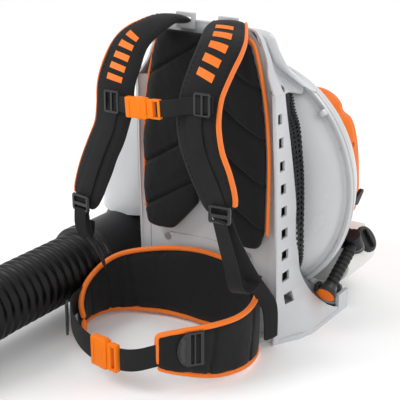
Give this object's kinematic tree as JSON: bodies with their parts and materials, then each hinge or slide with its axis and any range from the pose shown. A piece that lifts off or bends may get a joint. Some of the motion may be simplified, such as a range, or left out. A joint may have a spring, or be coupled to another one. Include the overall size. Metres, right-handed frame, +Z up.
{
  "type": "backpack_leaf_blower",
  "caption": "Backpack leaf blower: moulded frame with padded harness and hip belt, scroll fan, two-stroke engine, elbow, pleated hose and telescoping blower tubes.",
  "frame": {"origin": "on the underside of the foot, on the centre line, just behind its front edge", "axes": "+Z up; +Y from the wearer back to the engine; the hose lies on the -X side"},
  "size_m": [0.4805, 1.2739, 0.509],
  "materials": {
    "shell_grey": "satin",
    "housing_white": "satin",
    "black_plastic": "matte",
    "dark_grey_plastic": "matte",
    "orange_plastic": "satin",
    "hose_rubber": "matte",
    "mount_rubber": "matte",
    "tank_plastic": "satin",
    "cast_aluminium": "satin",
    "steel": "satin",
    "black_fabric": "matte",
    "webbing": "matte",
    "filter_felt": "matte",
    "rope": "matte",
    "ceramic": "gloss"
  },
  "bodies": {
    "root": {"base_foot": "shell_grey", "back_plate": "shell_grey", "side_rails": "shell_grey", "upper_frame": "housing_white", "lower_cover": "shell_grey", "screws": "steel", "strap_anchors": "shell_grey", "av_mounts": "mount_rubber", "intake_grille": "black_plastic", "fan_housing_front": "housing_white", "fan_housing_rear": "housing_white", "volute_duct": "housing_white", "crankcase": "cast_aluminium", "cylinder_barrel": "cast_aluminium", "piston": "cast_aluminium", "connecting_rod": "steel", "main_bearings": "steel", "muffler": "steel", "spark_plug": "ceramic", "plug_boot": "mount_rubber", "ignition_module": "black_plastic", "starter_housing": "black_plastic", "carburettor": "cast_aluminium", "air_filter": "filter_felt", "filter_cover": "black_plastic", "engine_hood": "orange_plastic", "fuel_tank": "tank_plastic", "start_hub": "black_plastic", "elbow": "black_plastic", "clamp_rear": "black_plastic", "hose_rear": "hose_rubber", "back_pad": "black_fabric", "strap_left": "black_fabric", "strap_right": "black_fabric", "harness_webbing": "webbing", "strap_adjusters": "dark_grey_plastic", "chest_buckle": "orange_plastic", "belt_back": "black_fabric", "belt_wings": "black_fabric", "belt_webbing": "webbing", "belt_buckle": "orange_plastic"},
    "rotor": {"fan_wheel": "dark_grey_plastic", "flywheel": "cast_aluminium", "crankshaft": "steel"},
    "pulley": {"starter_pulley": "tank_plastic"},
    "arm": {"start_arm": "black_plastic"},
    "grip": {"start_grip": "orange_plastic", "start_rope": "rope"},
    "cap": {"fuel_cap": "black_plastic"},
    "choke": {"choke_lever": "black_plastic"},
    "primer": {"primer_bulb": "tank_plastic"},
    "hose_bend": {"hose_mid": "hose_rubber"},
    "hose_end": {"hose_front": "hose_rubber", "hose_cuff": "black_plastic"},
    "tubes": {"swivel_tube": "black_plastic", "blower_tube": "black_plastic"},
    "handle": {"handle_shell": "black_plastic"},
    "trigger": {"throttle_trigger": "orange_plastic"},
    "stop": {"stop_lever": "orange_plastic"},
    "nozzle": {"nozzle_tube": "black_plastic"}
  },
  "joints": [
    {"name": "engine_spin", "type": "hinge", "parent": "root", "child": "rotor", "pos_m": [-0.01, 0.15, 0.224], "axis": [0, 1, 0], "continuous": true},
    {"name": "start_fold", "type": "hinge", "parent": "root", "child": "arm", "pos_m": [0.163, 0.205, 0.112], "axis": [0, -0.5225, 0.8526], "range_deg": [0, 70]},
    {"name": "start_pull", "type": "slide", "parent": "arm", "child": "grip", "axis": [0, -0.8526, -0.5225], "range_m": [0, 0.04]},
    {"name": "pulley_spin", "type": "hinge", "parent": "root", "child": "pulley", "pos_m": [-0.01, 0.275, 0.224], "axis": [0, 1, 0], "range_deg": [0, 82]},
    {"name": "cap_turn", "type": "hinge", "parent": "root", "child": "cap", "pos_m": [0.151, 0.258, 0.091], "axis": [0.829, 0, 0.5592], "range_deg": [0, 90]},
    {"name": "choke_turn", "type": "hinge", "parent": "root", "child": "choke", "pos_m": [0.11, 0.226, 0.176], "axis": [1, 0, 0], "range_deg": [-30, 60]},
    {"name": "primer_press", "type": "slide", "parent": "root", "child": "primer", "axis": [0, 0, 1], "range_m": [0, 0.004], "stiffness_N_per_m": 200},
    {"name": "hose_pitch", "type": "hinge", "parent": "root", "child": "hose_bend", "pos_m": [-0.215, -0.15, 0.08], "axis": [-1, 0, 0], "range_deg": [-15, 35]},
    {"name": "hose_yaw", "type": "hinge", "parent": "hose_bend", "child": "hose_end", "pos_m": [-0.215, -0.255, 0.08], "axis": [0, 0, 1], "range_deg": [-35, 35]},
    {"name": "tube_swivel", "type": "hinge", "parent": "hose_end", "child": "tubes", "pos_m": [-0.215, -0.35486, 0.07477], "axis": [0, -0.9986, -0.0523], "range_deg": [-60, 60]},
    {"name": "handle_slide", "type": "slide", "parent": "tubes", "child": "handle", "axis": [0, -0.9986, -0.0523], "range_m": [0, 0.05]},
    {"name": "trigger_pull", "type": "hinge", "parent": "handle", "child": "trigger", "pos_m": [-0.215, -0.41401, 0.20986], "axis": [1, 0, 0], "range_deg": [0, 14], "stiffness_Nm_per_rad": 0.3},
    {"name": "stop_turn", "type": "hinge", "parent": "handle", "child": "stop", "pos_m": [-0.215, -0.39026, 0.21511], "axis": [1, 0, 0], "range_deg": [-30, 40]},
    {"name": "nozzle_extend", "type": "slide", "parent": "tubes", "child": "nozzle", "axis": [0, -0.9986, -0.0523], "range_m": [0, 0.07]}
  ],
  "couplings": [
    {"joint": "pulley_spin", "follows": "start_pull", "rad_per_m": 35.7}
  ]
}
